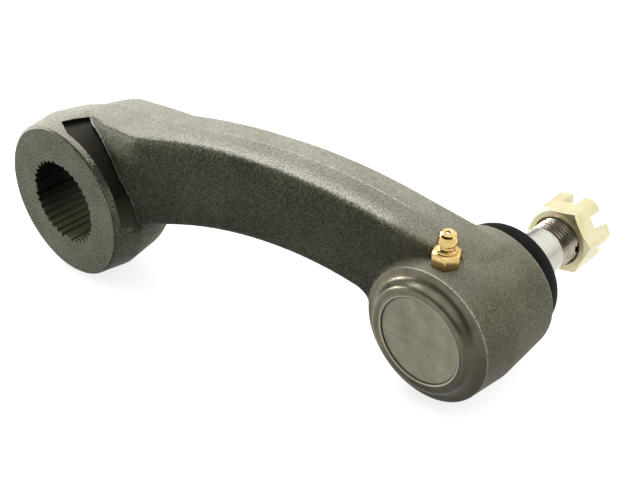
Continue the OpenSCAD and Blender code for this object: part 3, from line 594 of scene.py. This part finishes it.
# Dust boot. Moulded black rubber, seated on the housing's back and gripping the taper.
# Boot rubber: nearly black and matt, with a slight bloom.
rubber, tree, shader = new_material("boot_rubber", roughness=0.65, specular_ior_level=0.06)
place = add(tree, "ShaderNodeTexCoord").outputs["Object"]
bloom = add(tree, "ShaderNodeTexNoise", {"Vector": place}, {"Scale": spots(4.5), "Detail": 5}).outputs["Fac"]
colour = add(tree, "ShaderNodeValToRGB", {"Fac": bloom},
             stops=[(0.35, "#050505"), (0.75, "#0b0b0a")])
tree.links.new(colour.outputs["Color"], shader.inputs["Base Color"])
relief = add(tree, "ShaderNodeBump", {"Height": bloom},
             {"Strength": 0.1, "Distance": 0.5 * MM})
tree.links.new(relief.outputs[0], shader.inputs["Normal"])
outside = [(20.4, 73.86), (21.5, 73.86), (21.9, 74.4), (21.9, 75.6), (21.6, 78), (20.9, 80.6), (19.9, 82.6),
           (18, 84.1), (15.2, 85.1), (13, 86.3), (12.1, 87.4), (11.7, 88.6), (11.2, 89.3), (10.4, 89.4),
           (9.8, 89)]
inside = [(9.8, 86.4), (10.6, 85.2), (13.2, 83.5), (16.4, 82.4), (18.3, 81), (19.4, 79.4), (20, 77.4),
          (20.4, 75.6)]
boot = piece("boot", spun(outside + inside), rubber)
round_off = boot.modifiers.new("round", "SUBSURF")
round_off.levels = round_off.render_levels = 1
settle(boot)
smooth_by_angle(boot, 60)
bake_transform(boot)
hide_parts("dust_boot")

# Slotted nut. Cold-formed steel, zinc-plated, screwed on by a few turns only.
# Yellow zinc: a thin pale yellow film over a bright plating, a little uneven.
zinc, tree, shader = new_material("yellow_zinc", metallic=0.75, roughness=0.34)
place = add(tree, "ShaderNodeTexCoord").outputs["Object"]
tint = add(tree, "ShaderNodeTexNoise", {"Vector": place}, {"Scale": spots(7), "Detail": 4}).outputs["Fac"]
yellow = add(tree, "ShaderNodeValToRGB", {"Fac": tint},
             stops=[(0.3, "#c4ba8c"), (0.55, "#cfc7a4"), (0.75, "#d6d0b8")])
tree.links.new(yellow.outputs["Color"], shader.inputs["Base Color"])
dress("slotted_nut", zinc, 0.45)

# Grease fitting with its check ball and spring. Turned steel, screwed into the housing's top.
# Gold zinc: the nut's plating with a thicker film, so it is deeper in colour and glossier.
gold, tree, shader = new_material("gold_zinc", metallic=1.0, roughness=0.13)
place = add(tree, "ShaderNodeTexCoord").outputs["Object"]
tint = add(tree, "ShaderNodeTexNoise", {"Vector": place}, {"Scale": spots(4), "Detail": 4}).outputs["Fac"]
colour = add(tree, "ShaderNodeValToRGB", {"Fac": tint},
             stops=[(0.3, "#b8985a"), (0.7, "#d6be86")])
tree.links.new(colour.outputs["Color"], shader.inputs["Base Color"])
dress("grease_fitting", gold, 0.1)
dress("check_spring", ground)
dress("check_ball", polished)

# Stage: a white floor, a bright dome above and behind, three lamps and the camera as in the photo.
# White paper: matt, and bright enough that only a soft shadow shows under the arm.
paper, tree, shader = new_material("white_paper", roughness=0.9, emission_strength=0.78)
shader.inputs["Base Color"].default_value = linear("#a9a9a7")
shader.inputs["Emission Color"].default_value = linear("#ffffff")
FLOOR_GAP = 0.5 * MM
bm = bmesh.new()
bmesh.ops.create_grid(bm, x_segments=1, y_segments=1, size=4,
                      matrix=Matrix.Translation((0, 0, cad_box[0].z - FLOOR_GAP)))
floor = piece("floor", bm, paper)
floor.visible_diffuse = False

world = bpy.data.worlds.new("studio")
world.use_nodes = True
tree = world.node_tree
way = add(tree, "ShaderNodeVectorMath", {0: add(tree, "ShaderNodeTexCoord").outputs["Generated"]},
          {1: (0.12, 0.5, 0.86)}, operation="DOT_PRODUCT").outputs["Value"]
height = add(tree, "ShaderNodeMapRange", {"Value": way}, {"From Min": -1, "From Max": 1}).outputs[0]
dome = add(tree, "ShaderNodeValToRGB", {"Fac": height},
           stops=[(0.4, "#242423"), (0.68, "#3c3c3a"), (0.82, "#dededc"), (0.95, "#ffffff")])
tree.links.new(dome.outputs["Color"], tree.nodes["Background"].inputs["Color"])
tree.nodes["Background"].inputs["Strength"].default_value = 1.9
bpy.context.scene.world = world


def lamp(name, where, target, size, watts):
    """A square soft lamp that points at the target and is not seen itself."""
    light = bpy.data.lights.new(name, "AREA")
    light.shape = "SQUARE"
    light.size = size
    light.energy = watts
    obj = bpy.data.objects.new(name, light)
    obj.location = where
    obj.rotation_mode = "QUATERNION"
    obj.rotation_quaternion = (Vector(target) - Vector(where)).to_track_quat("-Z", "Y")
    obj.visible_camera = False
    bpy.context.scene.collection.objects.link(obj)


lamp("key", (-0.6, 0.3, 0.6), (0.07, 0.03, 0), 0.5, 8)
lamp("left", (-0.75, -0.24, 0), (0.02, 0, 0), 0.4, 16)
lamp("right", (0.85, 0.4, 0), (0.14, 0.05, 0), 0.5, 1.6)

AZIMUTH, ELEVATION = math.radians(42.76), math.radians(34.43)
camera = bpy.data.cameras.new("camera")
camera.sensor_width = 36
camera.lens = 73.5
camera.clip_start, camera.clip_end = 0.01, 20
eye = bpy.data.objects.new("camera", camera)
eye.location = (0.3439, -0.2339, 0.2560)
eye.rotation_mode = "QUATERNION"
ahead = Vector((-math.sin(AZIMUTH) * math.cos(ELEVATION), math.cos(AZIMUTH) * math.cos(ELEVATION),
                -math.sin(ELEVATION)))
eye.rotation_quaternion = ahead.to_track_quat("-Z", "Y")
bpy.context.scene.collection.objects.link(eye)
bpy.context.scene.camera = eye
bpy.context.scene.view_settings.view_transform = "Standard"
